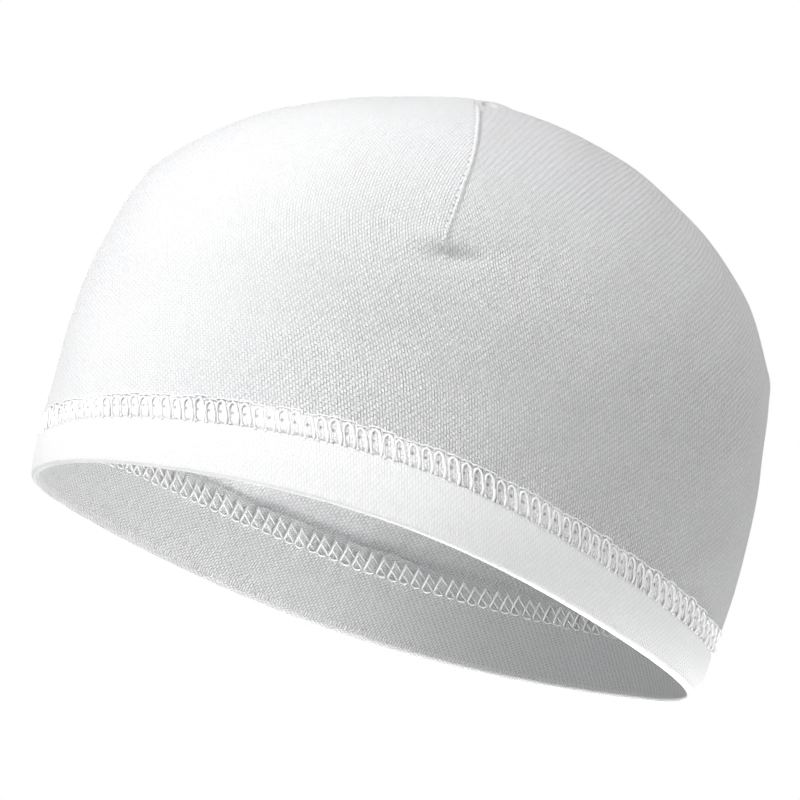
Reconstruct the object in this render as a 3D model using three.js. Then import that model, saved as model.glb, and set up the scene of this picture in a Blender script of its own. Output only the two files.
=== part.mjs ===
// Sleep cap: a close-fitting stretch-knit skull cap, in the form that it takes on a head.
// Millimetres, +Z up, the rim level, the forehead towards -Y and the wearer's left towards +X.
// The origin is the middle of the head opening.
import * as THREE from "three";

// Cloth: one knit layer makes the crown, and the hem is that knit folded double.
const KNIT = 1.2;
const LAP_KNIT = 1.0;
const PIECE_GAP = 0.3;
const HEM_DEPTH = KNIT + PIECE_GAP + LAP_KNIT;

// The worn form, in level sections from the rim plane up to where the four darts meet.
// height is above the rim plane; front, back and side are reaches from the origin.
// taperFront and taperBack narrow the oval's two ends, and crease flattens the four
// panels between the darts, which leaves a ridge along each dart.
const SECTIONS = [
  { height: 0, front: 96.3, back: 100, side: 77, taperFront: 0.2, taperBack: 0.36, crease: 0 },
  { height: 22, front: 99.1, back: 101.3, side: 79, taperFront: 0.16, taperBack: 0.29, crease: 0 },
  { height: 46, front: 100.3, back: 100.8, side: 80, taperFront: 0.1, taperBack: 0.19, crease: 0 },
  { height: 70, front: 99.7, back: 97.8, side: 78, taperFront: 0.05, taperBack: 0.1, crease: 0 },
  { height: 97, front: 92.4, back: 91.1, side: 70, taperFront: 0.02, taperBack: 0.03, crease: 0.035 },
  { height: 120, front: 71.1, back: 74.7, side: 55.4, taperFront: 0, taperBack: 0, crease: 0.065 },
  { height: 137.5, front: 38.3, back: 46.3, side: 30.6, taperFront: 0, taperBack: 0, crease: 0.075 },
  { height: 143.9, front: 16.9, back: 14.9, side: 12.3, taperFront: 0, taperBack: 0, crease: 0.05 },
  { height: 145.1, front: 12.2, back: -12.2, side: 0, taperFront: 0, taperBack: 0, crease: 0 },
];
const LAST_SECTION = SECTIONS.length - 1;

// Heights that change round the cap, at each eighth of a turn from the front past the left.
const RIM_RISE = [0, 1.5, 2.8, 1.3, 0.9, 2.1, 2.9, 2.1];
const PLAIN_HEM = [11.5, 13.3, 16.3, 14.7, 13.6, 18.4, 19.9, 18.9];
const LAP_ABOVE_SEAM = 8;

// The darts: each is a raised, rolled seam from the junction down to its end, where the
// taken-in cloth lets go in a small pouch with a dimple below it.
const DART_END = { front: 97, left: 85, back: 97, right: 85 };
// The side darts run straight down the side, and from leanFrom upwards they lean to the front.
const SIDE_DART = { y: -8.1, lean: 4.2, leanFrom: 108, leanTo: 146, fadeFrom: 40, fadeTo: 85 };
const RIDGE = { height: 0.9, halfWidth: 1.3, foot: 3.4, fade: 7 };
const POUCH = { height: 1.2, radius: 8, above: 2 };
const DIMPLE = { depth: 1.1, radius: 5.5, below: 11 };

// Mesh steps: rows up the crown, and columns in each of the four panels.
const CROWN_ROWS = 27;
const PANEL_COLUMNS = 16;
const FOOT_SHARE = { ridge: 0.07, foot: 0.15 };

const QUARTER_NAMES = ["front", "left", "back", "right"];

/** A value given at each eighth of a turn, as a smooth closed curve over the whole turn. */
function around(values, turn) {
  const count = values.length;
  const overlap = 2;
  const points = [];
  for (let index = -overlap; index <= count + overlap; index += 1) {
    points.push(new THREE.Vector2(index, values[(index + count) % count]));
  }
  const curve = new THREE.SplineCurve(points);
  return curve.getPoint((overlap + turn * count) / (points.length - 1)).y;
}

/** One column of SECTIONS as a smooth curve over the section number. */
function column(name) {
  return new THREE.SplineCurve(SECTIONS.map((row, index) => new THREE.Vector2(index, row[name])));
}

const CURVES = Object.fromEntries(Object.keys(SECTIONS[0]).map((name) => [name, column(name)]));

/** All the columns at a section number, which may lie between two rows. */
function sectionAt(number) {
  const share = THREE.MathUtils.clamp(number / LAST_SECTION, 0, 1);
  return Object.fromEntries(Object.entries(CURVES).map(([name, curve]) => [name, curve.getPoint(share).y]));
}

/** The section number at a height, found by halving. */
function numberAtHeight(height) {
  let low = 0;
  let high = LAST_SECTION;
  while (high - low > 1e-6) {
    const middle = (low + high) / 2;
    if (sectionAt(middle).height < height) low = middle;
    else high = middle;
  }
  return (low + high) / 2;
}

/** How far from the origin, front to back, a side dart lies at a height. */
function sideDartY(height) {
  return SIDE_DART.y - SIDE_DART.lean * THREE.MathUtils.smoothstep(height, SIDE_DART.leanFrom, SIDE_DART.leanTo);
}

/** The angle of the wearer's left dart in a section. */
function sideDartAngle(section) {
  const middle = (section.back - section.front) / 2;
  const half = (section.back + section.front) / 2;
  const onSeam = THREE.MathUtils.smoothstep(section.height, SIDE_DART.fadeFrom, SIDE_DART.fadeTo);
  const y = THREE.MathUtils.lerp(middle, sideDartY(section.height), onSeam);
  return Math.acos(THREE.MathUtils.clamp((middle - y) / Math.max(half, 0.1), -1, 1));
}

/** The angle where a panel starts; panel 4 starts where panel 0 does, a whole turn on. */
function panelStart(panel, section) {
  const side = sideDartAngle(section);
  return [0, side, Math.PI, 2 * Math.PI - side, 2 * Math.PI][panel];
}

/** The share of a panel at which each of its columns lies: close together at the seams. */
function columnShare(index, section) {
  const reach = Math.max(section.side, 1);
  const ridge = Math.min(RIDGE.halfWidth / reach, FOOT_SHARE.ridge);
  const foot = Math.min(RIDGE.foot / reach, FOOT_SHARE.foot);
  if (index === 0) return 0;
  if (index === 1) return ridge;
  if (index === PANEL_COLUMNS - 1) return 1 - ridge;
  return THREE.MathUtils.mapLinear(index, 2, PANEL_COLUMNS - 2, foot, 1 - foot);
}

/** A place on the smooth outer form, from a section number, a panel and a share of it. */
function formPoint(number, panel, share) {
  const section = sectionAt(number);
  const angle = THREE.MathUtils.lerp(panelStart(panel, section), panelStart(panel + 1, section), share);
  const along = Math.cos(angle);
  const taper = along > 0 ? section.taperFront : section.taperBack;
  const flat = 1 - section.crease * Math.sin(Math.PI * share);
  const middle = (section.back - section.front) / 2;
  const half = (section.back + section.front) / 2;
  const x = section.side * Math.sin(angle) * (1 - taper * along * along) * flat;
  return new THREE.Vector3(x, middle - half * along * flat, section.height);
}

/** The outward direction of the smooth form at a place, averaged over both its sides. */
function formNormal(number, panel, share) {
  const step = 0.004;
  const before = share === 0 ? formPoint(number, (panel + 3) % 4, 1 - step) : formPoint(number, panel, share - step);
  const after = formPoint(number, panel, share + step);
  const below = formPoint(Math.max(number - step, 0), panel, share);
  const above = formPoint(Math.min(number + step, LAST_SECTION - step), panel, share);
  return after.sub(before).cross(above.sub(below)).normalize();
}

/** How far a place on a dart's line stands out: the seam ridge, the pouch and the dimple. */
function dartRelief(panel, share, point) {
  const dart = share < 0.5 ? panel : (panel + 1) % 4;
  const end = DART_END[QUARTER_NAMES[dart]];
  const across = dart % 2 === 0 ? point.x : point.y - sideDartY(point.z);
  const ridge = share === 0 ? RIDGE.height * THREE.MathUtils.smoothstep(point.z, end, end + RIDGE.fade) : 0;
  const pouch = POUCH.height * Math.exp(-(across ** 2 + (point.z - end - POUCH.above) ** 2) / POUCH.radius ** 2);
  const drop = point.z - end + DIMPLE.below;
  const dimple = DIMPLE.depth * Math.exp(-(across ** 2 + drop ** 2) / DIMPLE.radius ** 2);
  return ridge + pouch - dimple;
}

/** Runs a function over every column of the four panels and returns what it gives. */
function eachColumn(section, make) {
  const made = [];
  for (let panel = 0; panel < 4; panel += 1) {
    for (let index = 0; index < PANEL_COLUMNS; index += 1) {
      made.push(make(panel, columnShare(index, section)));
    }
  }
  return made;
}

/** A closed mesh from rings of points: a band between each two, then the ends. */
function meshFromRings(name, rings, { closed, poles }, material) {
  const width = rings[0].length;
  const positions = rings.flat().flatMap((point) => point.toArray());
  const faces = [];
  const bands = closed ? rings.length : rings.length - 1;
  for (let ring = 0; ring < bands; ring += 1) {
    const lower = ring * width;
    const upper = ((ring + 1) % rings.length) * width;
    for (let index = 0; index < width; index += 1) {
      const next = (index + 1) % width;
      faces.push(lower + index, lower + next, upper + next, lower + index, upper + next, upper + index);
    }
  }
  for (const { ring, point, up } of poles) {
    const pole = positions.length / 3;
    positions.push(...point.toArray());
    for (let index = 0; index < width; index += 1) {
      const here = ring * width + index;
      const next = ring * width + ((index + 1) % width);
      faces.push(...(up ? [here, next, pole] : [next, here, pole]));
    }
  }
  const geometry = new THREE.BufferGeometry();
  geometry.setAttribute("position", new THREE.Float32BufferAttribute(positions, 3));
  geometry.setIndex(faces);
  geometry.computeVertexNormals();
  const mesh = new THREE.Mesh(geometry, material);
  mesh.name = name;
  return mesh;
}

/** The share of a whole turn from the front, for what changes round the cap. */
function turnOf(panel, share) {
  return (panel + share) / 4;
}

/** The crown: one knit layer over the head, taken in by four darts, open below. */
function makeCrown() {
  const seamNumber = (panel, share) => {
    const turn = turnOf(panel, share);
    return numberAtHeight(around(RIM_RISE, turn) + around(PLAIN_HEM, turn) + PIECE_GAP);
  };
  const outer = [];
  const inner = [];
  for (let row = 0; row < CROWN_ROWS; row += 1) {
    const climb = row / CROWN_ROWS;
    const level = sectionAt(THREE.MathUtils.lerp(numberAtHeight(PLAIN_HEM[0]), LAST_SECTION, climb));
    const places = eachColumn(level, (panel, share) => {
      const number = THREE.MathUtils.lerp(seamNumber(panel, share), LAST_SECTION, climb);
      const point = formPoint(number, panel, share);
      const normal = formNormal(number, panel, share);
      const relief = dartRelief(panel, share, point);
      const bulk = share === 0 ? 0 : relief;
      return {
        out: point.clone().addScaledVector(normal, relief),
        in: point.clone().addScaledVector(normal, bulk - KNIT),
      };
    });
    outer.push(places.map((place) => place.out));
    inner.push(places.map((place) => place.in));
  }
  const top = formPoint(LAST_SECTION, 0, 0);
  const underTop = top.clone().setZ(top.z - KNIT);
  const material = new THREE.MeshStandardMaterial({ color: 0xe8e8ea, roughness: 0.95, metalness: 0 });
  const rings = [...inner.reverse(), ...outer];
  const poles = [
    { ring: 0, point: underTop, up: false },
    { ring: rings.length - 1, point: top, up: true },
  ];
  return meshFromRings("crown", rings, { closed: false, poles }, material);
}

/** The hem: the knit folded double at the rim, with its raw edge lapping up inside. */
function makeHemBand() {
  // rise runs from 0 at the fold to 1 at the seam; above counts from the seam, in mm.
  const outline = [
    { rise: 1, above: 0, depth: 0 },
    { rise: 0.72, above: 0, depth: -0.2 },
    { rise: 0.4, above: 0, depth: -0.3 },
    { rise: 0.13, above: 0, depth: -0.2 },
    { rise: 0.03, above: 0, depth: 0.35 },
    { rise: 0, above: 0, depth: HEM_DEPTH / 2 },
    { rise: 0.03, above: 0, depth: HEM_DEPTH - 0.35 },
    { rise: 0.13, above: 0, depth: HEM_DEPTH + 0.15 },
    { rise: 0.5, above: 0, depth: HEM_DEPTH + 0.2 },
    { rise: 1, above: 0, depth: HEM_DEPTH },
    { rise: 1, above: LAP_ABOVE_SEAM / 2, depth: HEM_DEPTH },
    { rise: 1, above: LAP_ABOVE_SEAM, depth: HEM_DEPTH },
    { rise: 1, above: LAP_ABOVE_SEAM, depth: HEM_DEPTH - LAP_KNIT },
    { rise: 1, above: LAP_ABOVE_SEAM / 2, depth: HEM_DEPTH - LAP_KNIT },
    { rise: 1, above: 0, depth: HEM_DEPTH - LAP_KNIT },
  ];
  const rings = outline.map(({ rise, above, depth }) =>
    eachColumn(sectionAt(0), (panel, share) => {
      const turn = turnOf(panel, share);
      const height = around(RIM_RISE, turn) + rise * around(PLAIN_HEM, turn) + above;
      const number = numberAtHeight(height);
      return formPoint(number, panel, share).addScaledVector(formNormal(number, panel, share), -depth);
    }),
  );
  const material = new THREE.MeshStandardMaterial({ color: 0xf1f1f2, roughness: 0.95, metalness: 0 });
  return meshFromRings("hem_band", rings.reverse(), { closed: true, poles: [] }, material);
}

const group = new THREE.Group();
group.name = "sleep_cap";
group.add(makeCrown(), makeHemBand());

export default group;
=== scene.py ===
"""Looks of a stretch-knit sleep cap: a darted crown over a folded, cover-stitched hem.

The cap's sizes are in millimetres and become metres where a mesh is made; the studio's are
in metres. The form is the one that the frame's solids have: the rim is level, the forehead
is towards -Y, the wearer's left is towards +X, and the origin is the middle of the head
opening.
"""

import logging
import math
from collections.abc import Callable
from dataclasses import dataclass
from enum import Enum

import bpy
import numpy as np
from mathutils import Matrix, Vector

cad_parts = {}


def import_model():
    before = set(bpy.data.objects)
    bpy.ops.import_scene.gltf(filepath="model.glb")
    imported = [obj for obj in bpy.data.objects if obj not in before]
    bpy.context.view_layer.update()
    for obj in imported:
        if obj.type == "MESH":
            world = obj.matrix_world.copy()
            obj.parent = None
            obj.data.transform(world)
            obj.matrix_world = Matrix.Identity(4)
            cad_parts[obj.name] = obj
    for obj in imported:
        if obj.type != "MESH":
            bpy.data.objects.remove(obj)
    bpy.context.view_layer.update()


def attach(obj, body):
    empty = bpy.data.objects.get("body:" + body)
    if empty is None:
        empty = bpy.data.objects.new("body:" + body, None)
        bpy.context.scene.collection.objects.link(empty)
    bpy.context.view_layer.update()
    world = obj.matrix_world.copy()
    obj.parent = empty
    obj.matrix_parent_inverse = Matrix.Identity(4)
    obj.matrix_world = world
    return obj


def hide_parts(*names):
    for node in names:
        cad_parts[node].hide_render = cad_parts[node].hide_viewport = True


Array = np.ndarray
Piece = bpy.types.Object
Socket = bpy.types.NodeSocket
Pair = tuple[float, float]
Triple = tuple[float, float, float]

MM = 0.001
BODY = "root"
LOG = logging.getLogger("sleep_cap")


# The worn form

@dataclass(frozen=True)
class Section:
    """One level section of the cap, at a height above the rim plane, in millimetres.

    front, back and side are reaches from the origin. taper_front and taper_back narrow the
    oval's two ends, and crease flattens the four panels between the darts.
    """

    height: float
    front: float
    back: float
    side: float
    taper_front: float = 0.0
    taper_back: float = 0.0
    crease: float = 0.0


@dataclass(frozen=True)
class RoundTheCap:
    """A size that changes round the cap, at each eighth of a turn from the front past the left."""

    values: tuple[float, ...]

    def at(self, quarter: Array) -> Array:
        """Reads the size at a place round the cap.

        Args:
            quarter: quarter turns from the front, towards the wearer's left.

        Returns:
            The size there, on a smooth closed curve.
        """
        ring = np.array(self.values)
        count = len(ring)
        place = np.asarray(quarter) / 4 * count
        row = np.floor(place).astype(int)
        neighbours = [ring[(row + step) % count] for step in (-1, 0, 1, 2)]
        return between(*neighbours, place - row)


@dataclass(frozen=True)
class SideDart:
    """Where the side darts lie from front to back: straight down, then leaning forward."""

    y: float = -8.1
    lean: float = 4.2
    lean_from: float = 108.0
    lean_to: float = 146.0
    fade_from: float = 40.0
    fade_to: float = 85.0

    def at(self, height: Array) -> Array:
        """The dart's distance from the origin at a height, backwards."""
        return self.y - self.lean * smoothstep(height, self.lean_from, self.lean_to)


def between(before: Array, here: Array, there: Array, after: Array,
            step: Array) -> Array:
    """Runs a Catmull-Rom curve between two values.

    Args:
        before: the value before the first.
        here: the first value.
        there: the second value.
        after: the value after the second.
        step: the share of the way from the first to the second.

    Returns:
        The value there.
    """
    slope_here, slope_there = (there - before) / 2, (after - here) / 2
    cubic = 2 * here - 2 * there + slope_here + slope_there
    square = -3 * here + 3 * there - 2 * slope_here - slope_there
    return ((cubic * step + square) * step + slope_here) * step + here


def smoothstep(value: Array, start: float, end: float) -> Array:
    """Rises smoothly from 0 at start to 1 at end."""
    share = np.clip((value - start) / (end - start), 0.0, 1.0)
    return share * share * (3.0 - 2.0 * share)


def hump(distance: Array, width: float) -> Array:
    """A smooth hump of height 1 that fades over a width."""
    return np.exp(-((distance / width) ** 2))


def lengths_along(places: Array, axis: int = 0) -> Array:
    """Adds up the steps between neighbouring places.

    Args:
        places: places with x, y and z last.
        axis: the direction of the steps.

    Returns:
        Each place's distance along its line, from 0 at the first.
    """
    steps = np.linalg.norm(np.diff(places, axis=axis), axis=-1)
    return np.insert(np.cumsum(steps, axis=axis), 0, 0.0, axis=axis)


@dataclass
class CapForm:
    """The smooth outer form of the cap, without seams, stitches or thickness."""

    sections: tuple[Section, ...] = (
        Section(height=0, front=96.3, back=100, side=77, taper_front=0.2, taper_back=0.36),
        Section(height=22, front=99.1, back=101.3, side=79, taper_front=0.16, taper_back=0.29),
        Section(height=46, front=100.3, back=100.8, side=80, taper_front=0.1, taper_back=0.19),
        Section(height=70, front=99.7, back=97.8, side=78, taper_front=0.05, taper_back=0.1),
        Section(height=97, front=92.4, back=91.1, side=70, taper_front=0.02, taper_back=0.03, crease=0.035),
        Section(height=120, front=71.1, back=74.7, side=55.4, crease=0.065),
        Section(height=137.5, front=38.3, back=46.3, side=30.6, crease=0.075),
        Section(height=143.9, front=16.9, back=14.9, side=12.3, crease=0.05),
        Section(height=145.1, front=12.2, back=-12.2, side=0),
    )
    rim_rise: RoundTheCap = RoundTheCap((0, 1.5, 2.8, 1.3, 0.9, 2.1, 2.9, 2.1))
    plain_hem: RoundTheCap = RoundTheCap((11.5, 13.3, 16.3, 14.7, 13.6, 18.4, 19.9, 18.9))
    side_dart: SideDart = SideDart()

    def __post_init__(self) -> None:
        """Keeps the sections as columns, and heights as a fine ladder for looking up."""
        self.last = len(self.sections) - 1
        self.columns = {
            name: np.array([getattr(row, name) for row in self.sections], float)
            for name in Section.__dataclass_fields__
        }
        self.fine_numbers = np.linspace(0, self.last, 4001)
        self.fine_heights = self.read("height", self.fine_numbers)

    def read(self, name: str, number: Array) -> Array:
        """Reads a column between its rows by a Catmull-Rom curve.

        Args:
            name: the column's name.
            number: section numbers, which may lie between two rows.

        Returns:
            The column's values there.
        """
        values = self.columns[name]
        number = np.clip(np.asarray(number, float), 0, self.last)
        row = np.minimum(number.astype(int), self.last - 1)
        before, after = values[np.maximum(row - 1, 0)], values[np.minimum(row + 2, self.last)]
        return between(before, values[row], values[row + 1], after, number - row)

    def number_at(self, height: Array) -> Array:
        """The section number at a height."""
        return np.interp(height, self.fine_heights, self.fine_numbers)

    def panel_edges(self, number: Array) -> list[Array]:
        """Finds where the four panels meet.

        Args:
            number: section numbers.

        Returns:
            The angles at which the panels start, and a whole turn.
        """
        front, back = self.read("front", number), self.read("back", number)
        middle, half = (back - front) / 2, (back + front) / 2
        height = self.read("height", number)
        on_seam = smoothstep(height, self.side_dart.fade_from, self.side_dart.fade_to)
        y = middle + (self.side_dart.at(height) - middle) * on_seam
        side = np.arccos(np.clip((middle - y) / np.maximum(half, 0.1), -1, 1))
        whole = np.full_like(side, 2 * math.pi)
        return [np.zeros_like(side), side, whole / 2, whole - side, whole]

    def point(self, number: Array, quarter: Array) -> Array:
        """A place on the form.

        Args:
            number: section numbers.
            quarter: panel number plus the share of the panel, from 0 to 4.

        Returns:
            The places in millimetres, with x, y and z last.
        """
        number, quarter = np.broadcast_arrays(np.asarray(number, float), np.asarray(quarter, float))
        panel = np.floor(quarter).astype(int) % 4
        share = quarter - np.floor(quarter)
        edges = np.stack(self.panel_edges(number))
        start = np.take_along_axis(edges, panel[None], 0)[0]
        end = np.take_along_axis(edges, panel[None] + 1, 0)[0]
        angle = start + (end - start) * share
        along = np.cos(angle)
        taper = np.where(along > 0, self.read("taper_front", number), self.read("taper_back", number))
        flat = 1 - self.read("crease", number) * np.sin(math.pi * share)
        front, back = self.read("front", number), self.read("back", number)
        x = self.read("side", number) * np.sin(angle) * (1 - taper * along * along) * flat
        y = (back - front) / 2 - (back + front) / 2 * along * flat
        return np.stack([x, y, self.read("height", number)], -1)

    def normal(self, number: Array, quarter: Array) -> Array:
        """Finds which way is outwards at a place on the form.

        Args:
            number: section numbers.
            quarter: panel number plus the share of the panel, from 0 to 4.

        Returns:
            Unit vectors, with x, y and z last.
        """
        step = 0.004
        number = np.clip(number, 0, self.last - step)
        around = self.point(number, quarter + step) - self.point(number, quarter - step)
        climb = self.point(number + step, quarter) - self.point(np.maximum(number - step, 0), quarter)
        out = np.cross(around, climb)
        return out / np.maximum(np.linalg.norm(out, axis=-1, keepdims=True), 1e-12)

    def seam_height(self, quarter: Array) -> Array:
        """The height of the seam between hem and crown."""
        return self.rim_rise.at(quarter) + self.plain_hem.at(quarter)

    def quarters_along(self, height: Array, quarter: Array, count: int) -> Array:
        """Spaces places evenly by length along a line round the cap.

        Args:
            height: the line's height at each of the places given.
            quarter: many places round the cap, in quarter turns.
            count: how many equal steps to make.

        Returns:
            The ends of the steps, in quarter turns.
        """
        run = lengths_along(self.point(self.number_at(height), quarter))
        return np.interp(np.linspace(0, run[-1], count + 1), run, quarter)


# Mesh helpers

def deselect() -> None:
    """Leaves nothing selected, so that an operator acts on the new piece alone."""
    bpy.ops.object.select_all(action="DESELECT")


def select_only(*pieces: Piece) -> None:
    """Selects some pieces and no others, and makes the first one active.

    Args:
        pieces: the pieces.
    """
    deselect()
    for piece in pieces:
        piece.select_set(True)
    bpy.context.view_layer.objects.active = pieces[0]


def edit_whole(piece: Piece, operator: Callable, **settings: object) -> None:
    """Runs an edit operator on all of a piece's mesh.

    Args:
        piece: the piece.
        operator: the operator.
        settings: the operator's own properties.
    """
    select_only(piece)
    bpy.ops.object.mode_set(mode="EDIT")
    bpy.ops.mesh.select_all(action="SELECT")
    operator(**settings)
    bpy.ops.object.mode_set(mode="OBJECT")


def grid_mesh(name: str, columns: int, rows: int) -> Piece:
    """Adds a flat grid, one unit square for each column and row.

    Args:
        name: the piece's name.
        columns: faces along X.
        rows: faces along Y.

    Returns:
        The grid's object, at the origin and alone in the selection.
    """
    deselect()
    bpy.ops.mesh.primitive_grid_add(x_subdivisions=columns, y_subdivisions=rows, size=1, location=(0, 0, 0))
    piece = bpy.context.object
    piece.name = piece.data.name = name
    return piece


@dataclass
class Lattice:
    """Where each vertex and face corner of a grid lies, by column and row."""

    piece: Piece
    columns: int
    rows: int

    def __post_init__(self) -> None:
        """Reads the flat grid's places as whole columns and rows."""
        mesh = self.piece.data
        flat = np.empty(len(mesh.vertices) * 3)
        mesh.vertices.foreach_get("co", flat)
        flat = flat.reshape(-1, 3)
        self.column = np.rint((flat[:, 0] + 0.5) * self.columns).astype(int)
        self.row = np.rint((flat[:, 1] + 0.5) * self.rows).astype(int)
        corner = np.empty(len(mesh.loops), int)
        mesh.loops.foreach_get("vertex_index", corner)
        self.corner_column = self.column[corner]
        self.corner_row = self.row[corner]
        corners_each = 4
        self.face_column = np.repeat(self.corner_column.reshape(-1, corners_each).min(1), corners_each)

    def move(self, places: Array) -> None:
        """Moves the grid's vertices.

        Args:
            places: their new places by row and column, in millimetres.
        """
        moved = places[self.row, self.column] * MM
        self.piece.data.vertices.foreach_set("co", moved.ravel())
        self.piece.data.update()

    def add_map(self, name: str, values: Array) -> None:
        """Adds a UV map with a pair of values for each face corner."""
        layer = self.piece.data.uv_layers.new(name=name)
        layer.data.foreach_set("uv", np.ascontiguousarray(values, float).ravel())

    def add_value(self, name: str, values: Array) -> None:
        """Adds a value for each vertex, given by row and column."""
        layer = self.piece.data.attributes.new(name, "FLOAT", "POINT")
        layer.data.foreach_set("value", values[self.row, self.column].astype(float))



def close_doubles(piece: Piece) -> None:
    """Merges the vertices that lie on each other, which closes a rolled grid."""
    edit_whole(piece, bpy.ops.mesh.remove_doubles, threshold=1e-6)


def finish_piece(piece: Piece, node: str | None) -> None:
    """Smooths a piece and says what it is.

    Args:
        piece: the piece, which has its materials.
        node: the solid that it stands for, if any.
    """
    select_only(piece)
    bpy.ops.object.shade_smooth()
    if node is not None:
        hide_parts(node)
    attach(piece, BODY)
    LOG.info("%s: %d faces", piece.name, len(piece.data.polygons))


# Finishes

def grey(level: float) -> tuple[float, float, float, float]:
    """An opaque grey, from 0 for black to 1 for white."""
    return (level, level, level, 1.0)


class Nodes:
    """Builds a material's nodes with short calls."""

    def __init__(self, name: str) -> None:
        """Starts a material with its shader and output.

        Args:
            name: the material's name.
        """
        self.material = bpy.data.materials.new(name)
        self.material.use_nodes = True
        self.tree = self.material.node_tree
        self.shader = self.tree.nodes["Principled BSDF"]

    def fill(self, node: bpy.types.Node, inputs: dict) -> None:
        """Gives a node its inputs.

        Args:
            node: the node.
            inputs: a value or an output socket for each named or numbered input.
        """
        for name, value in inputs.items():
            if isinstance(value, Socket):
                self.tree.links.new(value, node.inputs[name])
            else:
                node.inputs[name].default_value = value

    def dress(self, inputs: dict) -> bpy.types.Material:
        """Fills the shader's own sockets and returns the material."""
        self.fill(self.shader, inputs)
        return self.material

    def add(self, kind: str, inputs: dict | None = None, **settings: object) -> bpy.types.Node:
        """Adds a node.

        Args:
            kind: the node's type, without the ShaderNode prefix.
            inputs: a value or an output socket for each named or numbered input.
            settings: the node's own properties.

        Returns:
            The new node.
        """
        node = self.tree.nodes.new("ShaderNode" + kind)
        for name, value in settings.items():
            setattr(node, name, value)
        self.fill(node, inputs or {})
        return node

    def math(self, operation: str, *values: object) -> Socket:
        """Adds a math node and returns its result."""
        return self.add("Math", dict(enumerate(values)), operation=operation).outputs[0]

    def vector(self, operation: str, *values: object) -> Socket:
        """Adds a vector math node and returns its result."""
        return self.add("VectorMath", dict(enumerate(values)), operation=operation).outputs[0]

    def mix(self, share: object, first: object, second: object, blend: str = "MIX",
            **settings: object) -> Socket:
        """Mixes two colours and returns the result."""
        inputs = {0: share, 6: first, 7: second}
        return self.add("Mix", inputs, data_type="RGBA", blend_type=blend, **settings).outputs[2]

    def noise(self, place: object, scale: float, detail: float, roughness: float) -> bpy.types.Node:
        """Adds a noise texture."""
        inputs = {"Vector": place, "Scale": scale, "Detail": detail, "Roughness": roughness}
        return self.add("TexNoise", inputs)

    def climb(self, value: object, start: float, end: float, way: str = "LINEAR") -> Socket:
        """Rises from 0 at start to 1 at end."""
        inputs = {"Value": value, "From Min": start, "From Max": end}
        return self.add("MapRange", inputs, interpolation_type=way).outputs["Result"]

    def map(self, name: str) -> tuple[Socket, Socket]:
        """Reads a UV map and returns its two values."""
        split = self.add("SeparateXYZ", {0: self.add("UVMap", uv_map=name).outputs[0]})
        return split.outputs["X"], split.outputs["Y"]

    def value(self, name: str) -> Socket:
        """Reads a named value of the mesh."""
        return self.add("Attribute", attribute_name=name).outputs["Fac"]


@dataclass(frozen=True)
class StitchHole:
    """A soft round hole that the needle leaves in each stitch of a row, drawn as a painted shadow spot and a
    sunk bump.

    share is its place along the stitch, and beside its distance from the row's line.
    """

    share: float
    beside: float
    radius: float
    darkness: float
    reach: float = 1.4
    softness: float = 0.3

    def mark(self, nodes: Nodes, count: object, off: object, pitch: float) -> Socket:
        """Marks the hole in each stitch.

        Args:
            nodes: the material's nodes.
            count: a place's number of stitches along the row.
            off: its distance from the row's line.
            pitch: a stitch's length.

        Returns:
            How strongly the hole's painted shadow and sunk bump lie on the place.
        """
        along = nodes.math("MULTIPLY", nodes.math("SUBTRACT", nodes.math("FRACT", count), self.share), pitch)
        across = nodes.math("SUBTRACT", off, self.beside)
        squares = nodes.math("MULTIPLY_ADD", along, along, nodes.math("MULTIPLY", across, across))
        near = nodes.math("DIVIDE", nodes.math("SQRT", squares), self.radius)
        inside = nodes.math("MAXIMUM", nodes.math("SUBTRACT", self.reach, near), 0.0)
        spot = nodes.math("SMOOTH_MIN", inside, 1.0, self.softness)
        return nodes.math("MULTIPLY", spot, self.darkness)


SEAM_PITCH = 3.7
# Each hole is painted as a dark spot of shadow; the second, fainter spot is painted shade inside the stitch's
# upper arch.
SEAM_HOLES = (StitchHole(0.5, 3.2, 0.45, 1.0), StitchHole(0.36, 5.3, 0.34, 0.55))
DART_PITCH = 2.9
DART_HOLE = StitchHole(0.5, 0.75, 0.26, 0.8)


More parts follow.
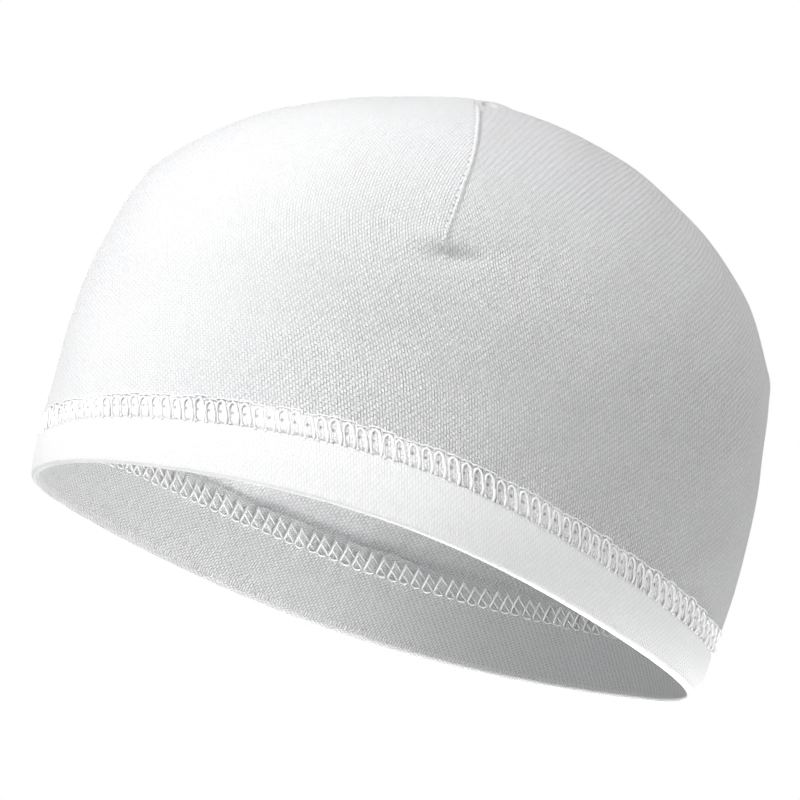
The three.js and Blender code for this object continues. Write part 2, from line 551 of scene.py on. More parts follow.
@dataclass(frozen=True)
class KnitFinish:
    """Fine stretch knit: irregular stitches in leaning wales, with painted shade in the soft gaps between
    them and between the yarn strokes.
    """

    name: str
    color: Triple
    wale: float = 0.84
    course: float = 1.4
    grain: float = 0.33
    gap: float = 0.25
    depth: float = 0.3
    gap_painted_shade: float = 0.76
    stitch_variety: float = 0.03
    wander: Pair = (0.55, 0.3)
    wander_scale: float = 0.9
    dash_gap_painted_shade: float = 0.9
    mean_shade: float = 0.8
    dash_length: float = 0.9
    dash_width: float = 0.3
    dash_depth: float = 0.5
    dash_range: Pair = (0.34, 0.6)
    fibre_scale: float = 3.5
    fibre_depth: float = 0.35
    through: float = 0.0
    through_reach: float = 1.6
    band_color: Triple | None = None
    band_top: float = 6.3
    band_fade: float = 1.2
    band_strength: float = 0.5
    has_holes: bool = False
    hole_shadow_weight: float = 0.62
    hole_shadow_color: Triple = (0.16, 0.16, 0.17)
    hole_depth: float = 2.0

    def build(self) -> bpy.types.Material:
        """Makes the material.

        Returns:
            The knit material, which reads the piece's own maps.
        """
        nodes = Nodes(self.name)
        across, along = nodes.map("knit")
        leaned = nodes.math("MULTIPLY_ADD", along, self.grain, across)
        place = nodes.add("CombineXYZ", {"X": along, "Y": leaned}).outputs[0]
        dash = self.dashes(nodes, place)
        stitches = self.stitches(nodes, place)
        fibre = nodes.noise(place, self.fibre_scale, 3.0, 0.7).outputs["Fac"]
        base, strength = self.ground(nodes)
        # The tint carries painted shade in the stitch gaps, and the next lines add painted shade between the
        # yarn strokes.
        tint = nodes.mix(0.5, stitches.outputs["Color"], fibre, "OVERLAY")
        darker = nodes.math("MULTIPLY_ADD", dash, 1.0 - self.dash_gap_painted_shade, self.dash_gap_painted_shade)
        pattern = nodes.mix(1.0, tint, nodes.math("DIVIDE", darker, self.mean_shade), "MULTIPLY")
        shade = nodes.mix(strength, base, pattern, "MULTIPLY", clamp_result=True)
        raised = nodes.math("SUBTRACT", 1.0, stitches.outputs["Fac"])
        raised = nodes.math("MULTIPLY_ADD", dash, self.dash_depth, raised)
        height = nodes.math("MULTIPLY_ADD", fibre, self.fibre_depth, raised)
        if self.has_holes:
            holes = self.holes(nodes)
            # The holes' dark colour is painted shadow; hole_depth sinks them as relief.
            shade = nodes.mix(nodes.math("MULTIPLY", holes, self.hole_shadow_weight), shade, self.hole_shadow_color + (1.0,))
            height = nodes.math("SUBTRACT", height, nodes.math("MULTIPLY", holes, self.hole_depth))
        distance = nodes.math("MULTIPLY", strength, self.depth * MM)
        bump = nodes.add("Bump", {"Strength": 1.0, "Distance": distance, "Height": height})
        return nodes.dress({
            "Base Color": shade,
            "Normal": bump.outputs[0],
            "Roughness": 0.92,
            "Specular IOR Level": 0.2,
            "Sheen Weight": 0.15,
            "Sheen Roughness": 0.5,
            "Subsurface Weight": self.through,
            "Subsurface Radius": (1.0, 1.0, 1.0),
            "Subsurface Scale": self.through_reach * MM,
        })

    def dashes(self, nodes: Nodes, place: Socket) -> Socket:
        """Draws short strokes of yarn along the wales.

        Args:
            nodes: the material's nodes.
            place: the place in the knit.

        Returns:
            How much of a stroke lies there.
        """
        scale = (1 / self.dash_length, 1 / self.dash_width, 0.0)
        noise = nodes.noise(nodes.vector("MULTIPLY", place, scale), 1.0, 1.0, 0.55)
        return nodes.climb(noise.outputs["Fac"], *self.dash_range, "SMOOTHSTEP")

    def stitches(self, nodes: Nodes, place: Socket) -> bpy.types.Node:
        """Draws the stitches and their gaps, with painted shade in the gaps, on wales that wander a little.

        Args:
            nodes: the material's nodes.
            place: the place in the knit.

        Returns:
            The pattern, with the stitches' colour, the painted shade in the gaps, and the gaps' share.
        """
        noise = nodes.noise(place, self.wander_scale, 2.0, 0.6)
        drift = nodes.vector("SUBTRACT", noise.outputs["Color"], (0.5, 0.5, 0.5))
        return nodes.add("TexBrick", {
            "Vector": nodes.vector("MULTIPLY_ADD", drift, self.wander + (0.0,), place),
            "Color1": grey(1.0),
            "Color2": grey(1.0 - 2 * self.stitch_variety),
            "Mortar": grey(self.gap_painted_shade),
            "Scale": 1.0,
            "Mortar Size": self.gap,
            "Mortar Smooth": 1.0,
            "Brick Width": self.course,
            "Row Height": self.wale,
        })

    def ground(self, nodes: Nodes) -> tuple[object, Socket]:
        """Gives the plain colour and the knit's strength, changed in a band above the seam.

        Args:
            nodes: the material's nodes.

        Returns:
            The colour, and how clearly the knit shows.
        """
        color: object = self.color + (1.0,)
        strength = nodes.value("knit_strength")
        if self.band_color is not None:
            above = nodes.climb(nodes.map("seam")[1], self.band_top - self.band_fade, self.band_top)
            color = nodes.mix(above, self.band_color + (1.0,), color)
            calmer = nodes.math("MULTIPLY_ADD", above, 1.0 - self.band_strength, self.band_strength)
            strength = nodes.math("MULTIPLY", strength, calmer)
        return color, strength

    def holes(self, nodes: Nodes) -> Socket:
        """Marks the needle's holes, as painted shadow spots and sunk bumps, along the hem's seam and beside
        the darts.

        Args:
            nodes: the material's nodes.

        Returns:
            How strongly the painted shadow and sunk bump lie on each place.
        """
        count, rise = nodes.map("seam")
        climb = nodes.value("dart_climb")
        stitch = nodes.math("DIVIDE", climb, DART_PITCH)
        beside = DART_HOLE.mark(nodes, stitch, nodes.map("darts")[1], DART_PITCH)
        darkest = nodes.math("MULTIPLY", beside, nodes.math("GREATER_THAN", climb, 0.0))
        for hole in SEAM_HOLES:
            darkest = nodes.math("MAXIMUM", darkest, hole.mark(nodes, count, rise, SEAM_PITCH))
        return darkest


@dataclass(frozen=True)
class ThreadFinish:
    """Spun sewing thread: soft, plied and a little brighter than the knit."""

    name: str
    color: Triple
    ply: float = 0.35
    ply_shade: float = 0.86
    ply_range: Pair = (0.3, 0.7)
    depth: float = 0.08

    def build(self) -> bpy.types.Material:
        """Makes the material.

        Returns:
            The thread material, on the piece's own place.
        """
        nodes = Nodes(self.name)
        place = nodes.add("TexCoord").outputs["Object"]
        fuzz = nodes.noise(place, 1.0 / (self.ply * MM), 2.0, 0.5).outputs["Fac"]
        shade = nodes.add("ValToRGB", {0: fuzz})
        low, high = shade.color_ramp.elements
        low.position, high.position = self.ply_range
        low.color = tuple(part * self.ply_shade for part in self.color) + (1.0,)
        high.color = self.color + (1.0,)
        bump = nodes.add("Bump", {"Strength": 0.6, "Distance": self.depth * MM, "Height": fuzz})
        return nodes.dress({
            "Base Color": shade.outputs[0],
            "Normal": bump.outputs[0],
            "Roughness": 0.75,
            "Specular IOR Level": 0.3,
            "Sheen Weight": 0.2,
        })


# The crown

@dataclass(frozen=True)
class DartShape:
    """The relief of a dart, in millimetres, seen from outside with its end downwards."""

    roll_height: float = 0.6
    roll_at: float = 0.15
    roll_width: float = 0.58
    roll_end: Pair = (56.0, 74.0)
    groove_depth: float = 0.22
    groove_at: float = -0.75
    groove_width: float = 0.35
    tuck_depth: float = 0.3
    tuck_width: float = 0.4
    fade: Pair = (-5.0, -1.5)
    tilt: float = 0.34
    pouch_height: float = 2.0
    pouch_at: Pair = (-3.5, -1.3)
    pouch_width: Pair = (7.0, 4.0)
    dimple_depth: float = 2.3
    dimple_at: Pair = (5.2, -6.3)
    dimple_width: Pair = (8.0, 1.7)
    dimple_below: float = 4.2
    inside_height: float = 0.9
    inside_width: float = 1.8
    apex_fade: float = 5.0

    def outside(self, across: Array, climb: Array, to_top: Array) -> Array:
        """How far the cloth stands out near a dart.

        Args:
            across: distance to the right of the dart, negative to its left.
            climb: distance above the dart's end.
            to_top: distance from where the darts meet.

        Returns:
            The relief, outwards.
        """
        sewn = smoothstep(climb, *self.fade) * smoothstep(to_top, 0.0, self.apex_fade)
        ending = smoothstep(climb, *self.roll_end)
        roll = self.roll_height * hump(across - self.roll_at, self.roll_width) * (1 - ending)
        roll = roll - self.tuck_depth * hump(across - self.roll_at, self.tuck_width) * ending
        climb = climb - self.tilt * across
        groove = self.groove_depth * hump(across - self.groove_at, self.groove_width)
        pouch = self.pouch_height * hump(across - self.pouch_at[0], self.pouch_width[0])
        pouch = pouch * hump(climb - self.pouch_at[1], self.pouch_width[1])
        dimple = self.dimple_depth * hump(across - self.dimple_at[0], self.dimple_width[0])
        reach = np.where(climb < self.dimple_at[1], self.dimple_below, self.dimple_width[1])
        dimple = dimple * hump(climb - self.dimple_at[1], reach)
        return (roll - groove) * sewn + pouch - dimple

    def inside(self, across: Array, climb: Array) -> Array:
        """How far the seam allowance stands into the head's hollow."""
        return self.inside_height * hump(across, self.inside_width) * smoothstep(climb, *self.fade)


@dataclass(frozen=True)
class Fold:
    """A short crease in the crown, between two places of the worn form, in millimetres."""

    start: Triple
    end: Triple
    width: float
    depth: float

    def relief(self, smooth: Array) -> Array:
        """Finds how far the cloth stands out along the fold.

        Args:
            smooth: places on the form.

        Returns:
            The relief, below nought in a groove.
        """
        start, way = np.array(self.start), np.array(self.end) - np.array(self.start)
        share = np.clip(((smooth - start) @ way) / (way @ way), 0.0, 1.0)
        off = np.linalg.norm(smooth - start - share[..., None] * way, axis=-1)
        return -self.depth * hump(off, self.width)


APEX_FOLDS = (
    Fold((30.4, -10.6, 137.0), (34.0, -7.6, 134.8), width=0.6, depth=0.4),
    Fold((28.0, -9.6, 137.6), (25.0, -8.4, 139.4), width=1.4, depth=1.1),
    Fold((22.0, -5.0, 140.8), (19.0, -7.5, 141.8), width=2.2, depth=-0.5),
)


@dataclass(frozen=True)
class Swell:
    """A long wave in stretched cloth: the way it runs, how close it is and where it starts."""

    way: Triple
    rate: float
    start: float


SWELLS = (
    Swell((0.3, 0.8, 0.5), 1.0, 0.6),
    Swell((-0.5, 0.6, -0.6), 1.37, 2.1),
    Swell((0.6, 0.2, 0.8), 0.81, 4.0),
)


@dataclass
class Crown:
    """The knit dome: four panels taken in by darts, open below."""

    form: CapForm
    dart: DartShape = DartShape()
    dart_end: tuple[float, ...] = (97.0, 85.0, 97.0, 85.0)
    dart_strength: tuple[float, ...] = (0.2, 1.0, 0.2, 1.0)
    knit: float = 1.1
    panel_columns: int = 60
    outer_rows: int = 216
    inner_rows: int = 84
    rows_close_up: Pair = (60.0, 75.0)
    seam_steps: tuple[float, ...] = (0, 0.25, 0.5, 0.75, 1.0, 1.3, 1.7, 2.3, 3.1, 4.2)
    seam_room: float = 0.3
    seam_gap: float = 0.08
    turned_in: float = 0.2
    turned_in_reach: float = 0.5
    apex_pinch: float = 1.1
    pinch_width: float = 1.8
    apex_puff: float = 0.8
    apex_reach: float = 4.2
    puff_width: float = 2.6
    plain_inside: float = 3.0
    folds: tuple[Fold, ...] = APEX_FOLDS
    wave_height: float = 0.22
    wave_length: float = 30.0
    # The knit's painted gap shade and bump are set stronger or weaker by how the light falls on each part of
    # the crown.
    clear_below: float = 1.3
    clear_lost: float = 0.75
    losing_up: Pair = (60.0, 135.0)
    clear_front: float = 0.28
    clear_gained: float = 0.92
    gaining_back: Pair = (-90.0, 30.0)
    flat: Pair = (0.47, 0.19)
    flat_area: float = 0.061
    finish: KnitFinish = KnitFinish("crown_knit_outside", (0.8, 0.802, 0.812),
                                    band_color=(0.93, 0.932, 0.94), has_holes=True)
    inner_finish: KnitFinish = KnitFinish("crown_knit_inside", (0.88, 0.882, 0.89), gap_painted_shade=0.75)

    def build(self) -> Piece:
        """Models and dresses the crown.

        Returns:
            The crown's object.
        """
        outer = self.shell("crown_knit", self.outer_rows, inside=False)
        inner = self.shell("crown_inside", self.inner_rows, inside=True)
        outer.data.materials.append(self.finish.build())
        inner.data.materials.append(self.inner_finish.build())
        select_only(outer, inner)
        bpy.ops.object.join()
        bpy.ops.object.mode_set(mode="EDIT")
        bpy.ops.mesh.select_all(action="DESELECT")
        bpy.ops.mesh.select_mode(type="EDGE")
        bpy.ops.mesh.select_non_manifold(extend=False, use_wire=False, use_boundary=True,
                                         use_multi_face=False, use_non_contiguous=False, use_verts=False)
        bpy.ops.mesh.bridge_edge_loops()
        bpy.ops.object.mode_set(mode="OBJECT")
        finish_piece(outer, "crown")
        return outer

    def shares(self, width: Array) -> Array:
        """The share of a panel at each of its columns, close together at the darts.

        Args:
            width: the panel's width at each row, in millimetres.

        Returns:
            Shares by row and column, from 0 to 1.
        """
        steps = np.array(self.seam_steps)
        scale = np.minimum(1.0, self.seam_room * width / steps[-1]) / np.maximum(width, 1e-6)
        near = steps[None, :] * scale[:, None]
        between = self.panel_columns - 2 * (len(steps) - 1)
        gaps = np.linspace(0, 1, between + 1)[None, 1:-1]
        middle = near[:, -1:] + (1 - 2 * near[:, -1:]) * gaps
        return np.concatenate([near, middle, 1 - near[:, ::-1]], axis=1)

    def shell(self, name: str, rows: int, inside: bool) -> Piece:
        """Makes one face of the crown from a flat grid.

        Args:
            name: the piece's name.
            rows: rows from the seam up to the top.
            inside: whether this is the face towards the head.

        Returns:
            The shell, merged at its back and top.
        """
        form = self.form
        columns = 4 * self.panel_columns
        lowest = form.number_at(min(form.plain_hem.values))
        climb = self.climb_of_rows(rows, lowest)
        level = lowest * (1 - climb) + form.last * climb
        panels = []
        for panel in range(4):
            even = panel + np.linspace(0, 1, 33)[None, :]
            run = form.point(level[:, None], np.minimum(even, panel + 1 - 1e-9))
            shares = self.shares(lengths_along(run, 1)[:, -1])
            panels.append(panel + (shares if panel == 3 else shares[:, :-1]))
        quarter = np.concatenate(panels, axis=1)
        seam = form.number_at(form.seam_height(quarter) + self.seam_gap)
        number = seam * (1 - climb[:, None]) + form.last * climb[:, None]
        smooth = form.point(number, quarter)
        normal = form.normal(number, quarter)
        measures = self.measure(smooth, quarter)
        places = smooth + normal * self.relief(smooth, measures, inside)[..., None]
        places[-1] = places[-1].mean(0)
        grid = Lattice(grid_mesh(name, columns, rows), columns, rows)
        self.add_maps(grid, smooth, quarter, measures)
        grid.move(places)
        close_doubles(grid.piece)
        if inside:
            edit_whole(grid.piece, bpy.ops.mesh.flip_normals)
        return grid.piece

    def climb_of_rows(self, rows: int, lowest: float) -> Array:
        """Spreads the rows evenly by length, twice as close above the darts' ends as below.

        Args:
            rows: how many there are.
            lowest: the section number where the crown starts.

        Returns:
            Each row's share of the way, in section numbers, from the seam to the top.
        """
        number = np.linspace(lowest, self.form.last, 2001)
        places = self.form.point(number, 1.0)
        steps = np.linalg.norm(np.diff(places, axis=0), axis=1)
        steps *= 1 + smoothstep(places[1:, 2], *self.rows_close_up)
        run = np.insert(np.cumsum(steps), 0, 0.0)
        number = np.interp(np.linspace(0, run[-1], rows + 1), run, number)
        return (number - lowest) / (self.form.last - lowest)

    def measure(self, smooth: Array, quarter: Array) -> dict[str, Array]:
        """Lengths over the form that the seams and the knit follow.

        Args:
            smooth: places by row and column.
            quarter: their panel numbers and shares.

        Returns:
            from_dart and to_dart across a panel, its width, the height along each column
            from the seam, climb above the nearest dart's end, and that dart's strength.
        """
        run, up = lengths_along(smooth, 1), lengths_along(smooth)
        edges = np.arange(5) * self.panel_columns
        panel = np.minimum(np.arange(run.shape[1]) // self.panel_columns, 3)
        start, end = run[:, edges[panel]], run[:, edges[panel + 1]]
        above = []
        for column, end_height in zip(edges, self.dart_end):
            at_end = np.interp(end_height, smooth[:, column, 2], up[:, column])
            above.append(up[:, column] - at_end)
        nearest = np.rint(quarter).astype(int) % 4
        climb = np.take_along_axis(np.stack(above, 1), nearest, 1)
        strength = np.array(self.dart_strength)[nearest]
        return {"from_dart": run - start, "to_dart": end - run, "width": end - start, "up": up,
                "climb": climb, "strength": strength}

    def relief(self, smooth: Array, measures: dict[str, Array], inside: bool) -> Array:
        """Finds how far each place of a shell stands out from the smooth form.

        Args:
            smooth: places by row and column.
            measures: their lengths over the form.
            inside: whether this is the face towards the head.

        Returns:
            The relief, outwards.
        """
        from_dart, to_dart, climb = (measures[name] for name in ("from_dart", "to_dart", "climb"))
        across = np.where(from_dart < to_dart, from_dart, -to_dart)
        to_top = measures["up"][-1:] - measures["up"]
        middle = np.sin(math.pi * np.clip(from_dart / np.maximum(measures["width"], 1e-6), 0, 1))
        puff = self.apex_puff * hump(to_top - self.apex_reach, self.puff_width) * middle
        pinch = self.apex_pinch * hump(to_top, self.pinch_width)
        dart = self.dart.outside(across, climb, to_top) * measures["strength"]
        shape = dart + puff - pinch + self.waves(smooth)
        shape = shape + sum(fold.relief(smooth) for fold in self.folds)
        if not inside:
            return shape - self.turned_in * np.exp(-measures["up"] / self.turned_in_reach)
        broad = shape - dart * hump(across, self.plain_inside)
        return broad - self.knit - self.dart.inside(across, climb)

    def waves(self, smooth: Array) -> Array:
        """Gives the slight unevenness of stretched cloth.

        Args:
            smooth: places on the form.

        Returns:
            The relief of the crossing waves.
        """
        turns = 2 * math.pi / self.wave_length
        swells = [np.sin(turns * each.rate * (smooth @ np.array(each.way)) + each.start) for each in SWELLS]
        return self.wave_height * sum(swells) / 2

    def add_maps(self, grid: Lattice, smooth: Array, quarter: Array,
                 measures: dict[str, Array]) -> None:
        """Adds the maps that the knit, the needle holes and the dart holes follow.

        Above the darts' ends each panel's wales run parallel to its own middle, so they
        meet the next panel's at the dart; below, they run on round the cap.

        Args:
            grid: the shell's grid.
            smooth: places by row and column.
            measures: their lengths over the form.
        """
        width, up = measures["width"], measures["up"]
        ends = int(np.argmin(np.abs(smooth[:, self.panel_columns, 2] - self.dart_end[1])))
        full = width[ends][None, :]
        wide = np.where(np.arange(len(smooth))[:, None] < ends, full, np.minimum(width, full))
        panel = grid.face_column // self.panel_columns
        panel_width = full[0, :-1:self.panel_columns]
        offset = np.insert(np.cumsum(panel_width), 0, 0.0)
        wales = 2 * round(offset[-1] / (2 * self.finish.wale))
        at_end = grid.corner_column - panel * self.panel_columns == self.panel_columns
        corner = (grid.corner_row, np.where(at_end, grid.corner_column - 1, grid.corner_column))
        share = measures["from_dart"] / np.maximum(width, 1e-6)
        share = np.where(at_end, 1.0, share[grid.corner_row, grid.corner_column])
        centre = offset[panel] + panel_width[panel] / 2
        across = (centre + (share - 0.5) * wide[corner]) * (wales * self.finish.wale / offset[-1])
        rise = np.gradient(up, axis=0)
        slope = np.gradient(wide / 2, axis=0) / np.maximum(rise, 1e-6)
        straight = np.cumsum(rise / np.sqrt(1 + slope ** 2), axis=0)
        edge = (2 * share - 1) ** 2
        along = up[corner] * (1 - edge) + straight[corner] * edge
        grid.add_map("knit", np.stack([across, along], 1))
        grid.add_map("darts", np.stack([width[corner] * share, width[corner] * (1 - share)], 1))
        turn = lengths_along(smooth[0])
        stitches = turn / turn[-1] * round(turn[-1] / SEAM_PITCH)
        grid.add_map("seam", np.stack([stitches[grid.corner_column], up[corner]], 1))
        grid.add_value("dart_climb", measures["climb"])
        grid.add_value("knit_strength", self.clearness(smooth))

    def clearness(self, smooth: Array) -> Array:
        """How clearly the knit's bump and painted gap shade show, set by how the light falls: more low down
        and behind than on top and in front.
        """
        lower = self.clear_below - self.clear_lost * smoothstep(smooth[..., 2], *self.losing_up)
        return lower * (self.clear_front + self.clear_gained * smoothstep(smooth[..., 1], *self.gaining_back))


# The hem

@dataclass
class HemBand:
    """The knit folded double at the rim, its raw edge lapping up behind the crown."""

    form: CapForm
    depth: float = 2.5
    knit: float = 1.0
    lap: float = 7.6
    lap_nearer: float = 0.1
    bulge: float = 0.3
    fold_share: float = 0.12
    face_rows: int = 14
    lap_rows: int = 9
    fold_rows: int = 8
    columns: int = 456
    edge_rounding: float = 0.1
    edge_reach: float = 0.5
    edge_row: float = 0.12
    edge_rise: float = 0.15
    edge_inset: float = 0.2
    edge_wave: float = 0.35
    edge_waves: tuple[int, int] = (22, 34)
    edge_stitches: int = 152
    inside_lean: float = 1.5
    # The knit's bump and painted gap shade are weaker on the outside face, which the light meets head-on.
    clear_outside: float = 0.2
    flat: Pair = (0.47, 0.043)
    finish: KnitFinish = KnitFinish("hem_knit", (0.88, 0.882, 0.89), wale=0.8, course=1.2,
                                    depth=0.5, gap_painted_shade=0.55, mean_shade=0.72, grain=0.45, through=0.25)

    def outline(self) -> list[Triple]:
        """Draws the folded sheet's section.

        Returns:
            Its corners, as the share of the plain hem, millimetres above that, and depth.
        """
        shares = np.linspace(0, 1, self.face_rows)
        faces = self.fold_share + (1 - self.fold_share) * shares
        bows = self.bulge * np.sin(math.pi * shares)
        radius = self.depth / 2
        inner = self.depth - self.knit
        rows = [(face, 0.0, -bow) for face, bow in zip(faces[::-1], bows[::-1])]
        for step in np.linspace(0, math.pi, self.fold_rows):
            rows.append((0.0, radius * (1 - math.sin(step)), radius * (1 - math.cos(step))))
        rows += [(face, 0.0, self.depth + bow / 2) for face, bow in zip(faces, bows)]
        for above in [*np.linspace(0, self.lap - self.edge_row, self.lap_rows)[1:], self.lap]:
            rounded = self.edge_rounding * smoothstep(above, self.lap - self.edge_reach, self.lap)
            rows.append((1.0, above, self.depth - self.nearer(above) - rounded))
        rows.append((1.0, self.lap + self.edge_rise, inner - self.lap_nearer + self.edge_inset))
        for above in np.linspace(self.lap, 0, self.lap_rows):
            rows.append((1.0, above, inner - self.nearer(above)))
        rows += [(face, 0.0, inner) for face in faces[::-1][1:]]
        rows.append((0.0, self.knit, radius))
        rows += [(face, 0.0, self.knit) for face in faces]
        return rows

    def nearer(self, above: float) -> float:
        """How much closer to the crown the lap lies at a height above the seam."""
        return self.lap_nearer * smoothstep(above, 0.0, self.lap)

    def ripple(self, quarter: Array) -> Array:
        """Gives the raw edge's waves.

        Args:
            quarter: places round the cap, in quarter turns.

        Returns:
            The rise of the edge there, from long waves and the stitches' own.
        """
        turn = quarter * math.pi / 2
        slow, quick = self.edge_waves
        stitch = np.sin(self.edge_stitches * turn + 1.2 * np.sin(10 * turn))
        return self.edge_wave * (np.sin(slow * turn) + np.sin(quick * turn + 1.0) + stitch) / 2

    def build(self) -> Piece:
        """Models and dresses the hem.

        Returns:
            The hem's object.
        """
        form = self.form
        outline = self.outline()
        rows = len(outline)
        rise, above, depth = np.array(outline + outline[:1]).T[:, :, None]
        quarter = np.linspace(0, 4, self.columns + 1)
        raw = np.clip((above - self.lap / 2) / (self.lap / 2), 0, 1) * (rise == 1.0)
        height = form.rim_rise.at(quarter) + rise * form.plain_hem.at(quarter) + above
        height = height + raw * self.ripple(quarter)
        number = form.number_at(height)
        places = form.point(number, quarter) - form.normal(number, quarter) * depth[..., None]
        grid = Lattice(grid_mesh("hem_knit_band", self.columns, rows), self.columns, rows)
        turn = lengths_along(places[0])
        wale = self.finish.wale
        turn = turn / turn[-1] * 2 * round(turn[-1] / (2 * wale)) * wale
        down = lengths_along(places[:, 0])
        down = down - down[self.face_rows + self.fold_rows // 2]
        down = np.where(down < 0, -down, down * self.inside_lean)
        grid.add_map("knit", np.stack([turn[grid.corner_column], down[grid.corner_row]], 1))
        clear = np.where(depth > self.depth / 2, 1.0, self.clear_outside)
        grid.add_value("knit_strength", clear * np.ones_like(height))
        grid.move(places)
        close_doubles(grid.piece)
        grid.piece.data.materials.append(self.finish.build())
        finish_piece(grid.piece, "hem_band")
        return grid.piece


# The stitches

class Face(Enum):
    """The face of the seam that a stitch lies on."""

    OUTSIDE = "outside"
    INSIDE = "inside"


@dataclass(frozen=True)
class Strand:
    """One thread's way through a stitch, in millimetres: along, up and out of the cloth."""

    radius: float
    points: tuple[Triple, ...]


@dataclass
class StitchRow:
    """A row of equal stitches that follows the hem's seam round the cap."""

    form: CapForm
    name: str
    face: Face
    strands: tuple[Strand, ...]
    depth: float
    finish: ThreadFinish
    steps: int = 3
    middle: float = 0.5
    unevenness: float = 0.18
    uneven_ways: Triple = (1.0, 0.8, 0.3)
    uneven_size: float = 0.04
    samples: int = 40
    seed: int = 4

    def build(self) -> Piece:
        """Models one stitch, repeats it in a row and lays the row along the seam.

        Returns:
            The row's object.
        """
        form = self.form
        fine = np.linspace(0, 4, 1601)
        seam = form.seam_height(fine)
        length = lengths_along(form.point(form.number_at(seam), fine))[-1]
        count = round(length / SEAM_PITCH)
        pitch = length / count
        row = self.model_stitch()
        corners = len(row.data.vertices)
        self.repeat(row, count, pitch)
        places = np.empty(len(row.data.vertices) * 3)
        row.data.vertices.foreach_get("co", places)
        local = places.reshape(count, corners, 3) / MM
        local[..., 0] -= np.arange(count)[:, None] * pitch
        chance = np.random.default_rng(self.seed)
        shift = chance.normal(0, self.unevenness, (count, 1, 3)) * np.array(self.uneven_ways)
        local = local * (1 + chance.normal(0, self.uneven_size, (count, 1, 1))) + shift
        along = (np.arange(count)[:, None] + self.middle + local[..., 0] / pitch) % count
        even = form.quarters_along(seam, fine, count * self.samples)
        quarter = np.interp(along * self.samples, np.arange(len(even)), even)
        number = form.number_at(form.seam_height(quarter) + local[..., 1])
        outward = local[..., 2:3] if self.face is Face.OUTSIDE else -self.depth - local[..., 2:3]
        laid = form.point(number, quarter) + form.normal(number, quarter) * outward
        row.data.vertices.foreach_set("co", (laid * MM).ravel())
        edit_whole(row, bpy.ops.mesh.normals_make_consistent, inside=False)
        row.data.materials.append(self.finish.build())
        finish_piece(row, None)
        return row

    def model_stitch(self) -> Piece:
        """Models one stitch at the origin: each strand is a round path, closed at its ends.

        Returns:
            The stitch, alone in the selection.
        """
        strands = []
        for strand in self.strands:
            deselect()
            bpy.ops.curve.primitive_nurbs_path_add(location=(0, 0, 0))
            path = bpy.context.object
            spline = path.data.splines[0]
            spline.points.add(len(strand.points) - len(spline.points))
            for point, place in zip(spline.points, strand.points):
                point.co = (*(Vector(place) * MM), 1.0)
            spline.order_u = 3
            spline.use_endpoint_u = True
            path.data.resolution_u = self.steps
            path.data.bevel_depth = strand.radius * MM
            path.data.bevel_resolution = 1
            path.data.use_fill_caps = True
            bpy.ops.object.convert(target="MESH")
            strands.append(bpy.context.object)
        select_only(*strands)
        bpy.ops.object.join()
        stitch = bpy.context.object
        stitch.name = stitch.data.name = self.name
        return stitch

    def repeat(self, stitch: Piece, count: int, pitch: float) -> None:
        """Repeats the stitch in a straight row along X, all in its own mesh.

        Args:
            stitch: the stitch.
            count: how many the row has.
            pitch: their distance from each other.
        """
        array = stitch.modifiers.new("row", "ARRAY")
        array.count = count
        array.use_relative_offset = False
        array.use_constant_offset = True
        array.constant_offset_displace = (pitch * MM, 0.0, 0.0)
        bpy.ops.object.modifier_apply(modifier=array.name)


LADDER_STRANDS = (
    Strand(0.33, ((-0.3, 6.0, -0.05), (-1.15, 5.6, 0.18), (-1.3, 4.4, 0.24), (-1.0, 3.5, 0.17),
                  (-0.75, 2.9, -0.15))),
    Strand(0.23, ((-0.8, 3.1, -0.05), (-0.55, 2.2, 0.15), (-0.15, 1.2, 0.17), (0.3, 0.1, 0.1),
                  (0.4, -0.2, -0.2))),
    Strand(0.36, ((-0.7, 6.1, -0.05), (0.5, 5.6, 0.22), (1.3, 4.4, 0.28), (1.8, 3.2, 0.24),
                  (1.95, 2.7, -0.1))),
    Strand(0.4, ((1.75, 3.4, -0.15), (2.2, 2.6, 0.22), (2.6, 1.5, 0.28), (2.75, 0.5, 0.2),
                 (2.75, -0.2, -0.25))),
    Strand(0.22, ((-2.3, 6.3, -0.05), (-1.2, 6.65, 0.18), (0.0, 6.5, 0.22), (1.0, 6.65, 0.18),
                  (1.9, 6.2, -0.05))),
    Strand(0.34, ((0.05, 0.4, -0.05), (0.15, 0.1, 0.15), (0.3, 0.0, 0.18), (0.45, 0.0, 0.12),
                  (0.55, 0.1, -0.05))),
)

LATTICE_STRANDS = (
    Strand(0.38, ((0.55, 0.7, -0.1), (0.4, 1.8, 0.3), (0.1, 3.3, 0.34), (-0.2, 4.8, 0.3),
                  (-0.2, 6.0, -0.15))),
    Strand(0.28, ((-0.3, 5.8, -0.1), (-1.3, 4.8, 0.18), (-3.1, 3.3, 0.12), (-4.7, 2.1, 0.18),
                  (-6.1, 0.9, -0.1))),
    Strand(0.26, ((0.3, 0.6, 0.0), (-0.4, 0.1, 0.18), (-1.0, 0.0, 0.22), (-1.7, 0.15, 0.16),
                  (-2.2, 0.5, 0.0))),
)


# The studio

@dataclass(frozen=True)
class Softbox:
    """A square area light that looks at the cap from a direction."""

    name: str
    towards: Triple
    power: float
    distance: float = 2.2
    size: float = 1.6

    def build(self, aim: Vector) -> None:
        """Adds the light.

        Args:
            aim: the point that it looks at.
        """
        lamp = bpy.data.lights.new(self.name, "AREA")
        lamp.size = self.size
        lamp.energy = self.power
        light = bpy.data.objects.new(self.name, lamp)
        bpy.context.collection.objects.link(light)
        way = Vector(self.towards).normalized()
        light.visible_camera = False
        light.location = aim + way * self.distance
        light.rotation_euler = way.to_track_quat("Z", "Y").to_euler()


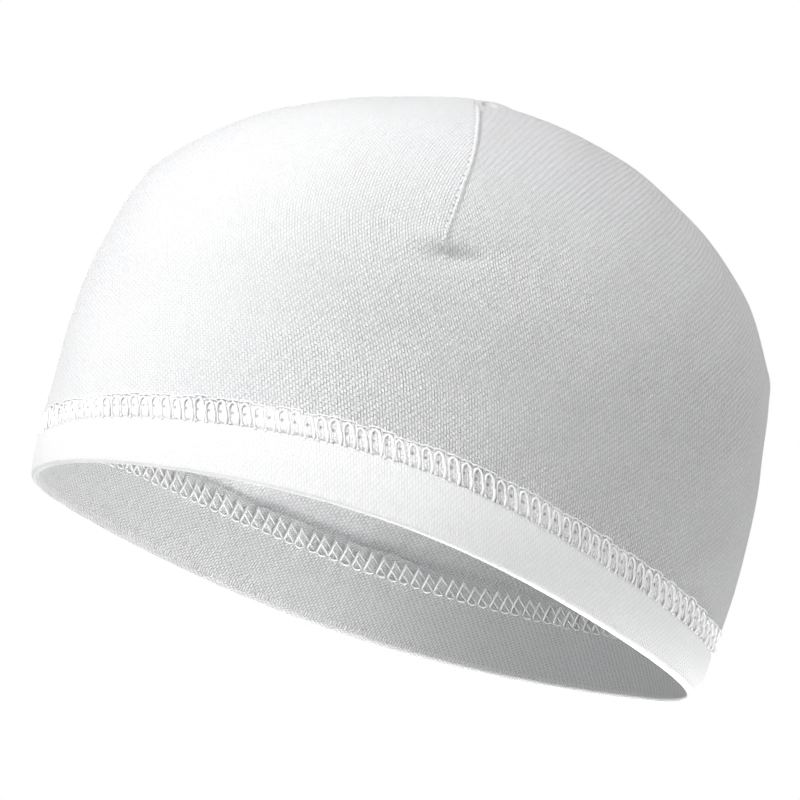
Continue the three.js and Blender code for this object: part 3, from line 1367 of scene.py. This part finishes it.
@dataclass
class Studio:
    """The floor, the light and the camera at the photograph's viewing angle."""

    aim: Triple = (0.0, 0.0, 0.06)
    azimuth: float = 90.0
    elevation: float = -14.47
    roll: float = 19.07
    distance: float = 1.9
    millimetres_per_pixel: float = 0.2827
    frame_pixels: int = 800
    aim_pixel: Pair = (422.5, 392.4)
    sensor: float = 36.0
    floor_below: float = 1.4
    floor_size: float = 30.0
    floor_glow: float = 0.7
    sky: float = 0.02
    lights: tuple[Softbox, ...] = (
        Softbox("key_softbox", (0.6, -0.75, 0.35), 65.0),
        Softbox("right_softbox", (0.4, 0.6, 0.75), 22.0),
        Softbox("back_softbox", (0.35, 0.8, -0.5), 20.0),
        Softbox("low_softbox", (0.9, 0.0, -0.55), 5.0),
        Softbox("rear_softbox", (-0.55, 0.82, 0.12), 18.0),
        Softbox("far_softbox", (-1.0, -0.1, 0.08), 34.0),
        Softbox("under_card", (-0.1, 0.45, -0.9), 0.46, distance=0.22, size=0.08),
    )

    def build(self) -> None:
        """Adds the world, the floor, the lights and the camera."""
        self.build_world()
        self.build_floor()
        for light in self.lights:
            light.build(Vector(self.aim))
        self.build_camera()
        bpy.context.scene.view_settings.view_transform = "Standard"

    def build_world(self) -> None:
        """Adds a backdrop that is white to the eye but lights the cap only softly."""
        world = bpy.data.worlds.new("studio")
        world.use_nodes = True
        bpy.context.scene.world = world
        tree = world.node_tree
        soft = tree.nodes["Background"]
        white = tree.nodes.new("ShaderNodeBackground")
        soft.inputs["Color"].default_value = white.inputs["Color"].default_value = grey(1.0)
        soft.inputs["Strength"].default_value = self.sky
        path = tree.nodes.new("ShaderNodeLightPath")
        mix = tree.nodes.new("ShaderNodeMixShader")
        tree.links.new(path.outputs["Is Camera Ray"], mix.inputs["Fac"])
        tree.links.new(soft.outputs[0], mix.inputs[1])
        tree.links.new(white.outputs[0], mix.inputs[2])
        tree.links.new(mix.outputs[0], tree.nodes["World Output"].inputs["Surface"])

    def build_floor(self) -> None:
        """Adds a plain pale floor, clear of the cap and of a camera a little below the rim."""
        deselect()
        bpy.ops.mesh.primitive_plane_add(size=self.floor_size, location=(0, 0, -self.floor_below))
        floor = bpy.context.object
        floor.name = "floor"
        nodes = Nodes("floor_paper")
        seen = nodes.math("MULTIPLY", nodes.add("LightPath").outputs["Is Camera Ray"], self.floor_glow)
        floor.data.materials.append(nodes.dress({
            "Base Color": grey(0.8),
            "Roughness": 0.9,
            "Emission Color": grey(1.0),
            "Emission Strength": seen,
        }))

    def build_camera(self) -> None:
        """A long lens below the rim plane, rolled as the photograph is."""
        turn, tilt, roll = (math.radians(x) for x in (self.azimuth, self.elevation, self.roll))
        back = Vector((math.sin(turn) * math.cos(tilt), -math.cos(turn) * math.cos(tilt), math.sin(tilt)))
        level = (-back).cross(Vector((0, 0, 1))).normalized()
        upright = level.cross(-back)
        right = level * math.cos(roll) + upright * math.sin(roll)
        up = upright * math.cos(roll) - level * math.sin(roll)
        pixel = self.millimetres_per_pixel * MM
        half = self.frame_pixels / 2
        middle = Vector(self.aim) - right * ((self.aim_pixel[0] - half) * pixel)
        middle -= up * ((half - self.aim_pixel[1]) * pixel)
        camera = bpy.data.objects.new("camera", bpy.data.cameras.new("camera"))
        bpy.context.collection.objects.link(camera)
        camera.data.sensor_width = self.sensor
        camera.data.lens = self.sensor * self.distance / (self.frame_pixels * pixel)
        camera.data.clip_end = 50.0
        turned = Matrix((right, up, back)).transposed().to_4x4()
        camera.matrix_world = Matrix.Translation(middle + back * self.distance) @ turned
        bpy.context.scene.camera = camera


def main() -> None:
    """Builds the cap piece by piece in the studio, and keeps its size."""
    logging.basicConfig(level=logging.INFO, format="%(message)s")
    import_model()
    form = CapForm()
    Studio().build()
    Crown(form).build()
    HemBand(form).build()
    thread = ThreadFinish("seam_thread", (0.98, 0.98, 0.985))
    StitchRow(form, "ladder_stitch", Face.OUTSIDE, LADDER_STRANDS, 0.0, thread).build()
    inner_thread = ThreadFinish("looper_thread", (0.9, 0.9, 0.905))
    StitchRow(form, "lattice_stitch", Face.INSIDE, LATTICE_STRANDS, 2.5, inner_thread, seed=7).build()


if __name__ == "__main__":
    main()
